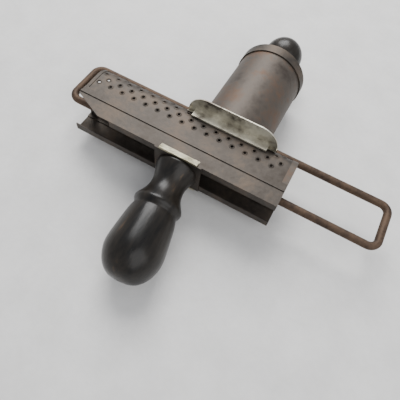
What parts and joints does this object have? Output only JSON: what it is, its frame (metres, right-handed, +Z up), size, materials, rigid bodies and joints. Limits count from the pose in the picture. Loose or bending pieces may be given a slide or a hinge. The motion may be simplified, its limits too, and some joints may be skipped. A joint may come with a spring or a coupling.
{
  "type": "sliding nutmeg grater",
  "caption": "Hand-held tin grater with a turned wooden handle and a hopper with a sprung plunger that slides along the perforated body on a wire loop.",
  "frame": {"origin": "bottom centre of the bounding box, as it lies on a table", "axes": "+X along the grater body, +Y from the handle to the knob, +Z up"},
  "size_m": [0.1522, 0.1519, 0.0337],
  "materials": {
    "dark_tin": "oxidised, worn",
    "rusty_tin": "oxidised with rust",
    "solder": "dull, lumpy",
    "rusty_wire": "brown rust",
    "black_wood": "glossy worn black paint",
    "steel": "dull"
  },
  "bodies": {
    "frame": {"grater_sheet": "dark_tin", "body_flange_front": "dark_tin", "body_flange_rear": "dark_tin", "channel_floor": "dark_tin", "end_bead_left": "dark_tin", "end_strip_right": "rusty_tin", "handle_washer": "steel", "handle_screw": "steel", "handle_bracket": "dark_tin", "handle_grip": "black_wood", "handle_solder_front": "solder", "handle_solder_rear": "solder"},
    "carriage": {"wire_loop": "rusty_wire", "saddle": "dark_tin", "hopper_tube": "rusty_tin", "saddle_solder": "solder", "wire_solder_left": "solder", "wire_solder_right": "solder"},
    "cap": {"hopper_cap": "dark_tin"},
    "plunger": {"plunger_rod": "steel", "follower_disc": "steel", "rod_rivet": "steel", "knob_washer": "steel", "knob": "black_wood", "pressure_spring": "steel"}
  },
  "joints": [
    {"name": "carriage_slide", "type": "slide", "parent": "frame", "child": "carriage", "axis": [1, 0, 0], "range_m": [-0.038, 0.0035]},
    {"name": "cap_lift", "type": "slide", "parent": "carriage", "child": "cap", "axis": [0, 1, 0], "range_m": [0, 0.06]},
    {"name": "plunger_pull", "type": "slide", "parent": "cap", "child": "plunger", "axis": [0, 1, 0], "range_m": [0, 0.025], "stiffness_N_per_m": 150, "springref_m": -0.01, "deforming": ["pressure_spring"]}
  ]
}
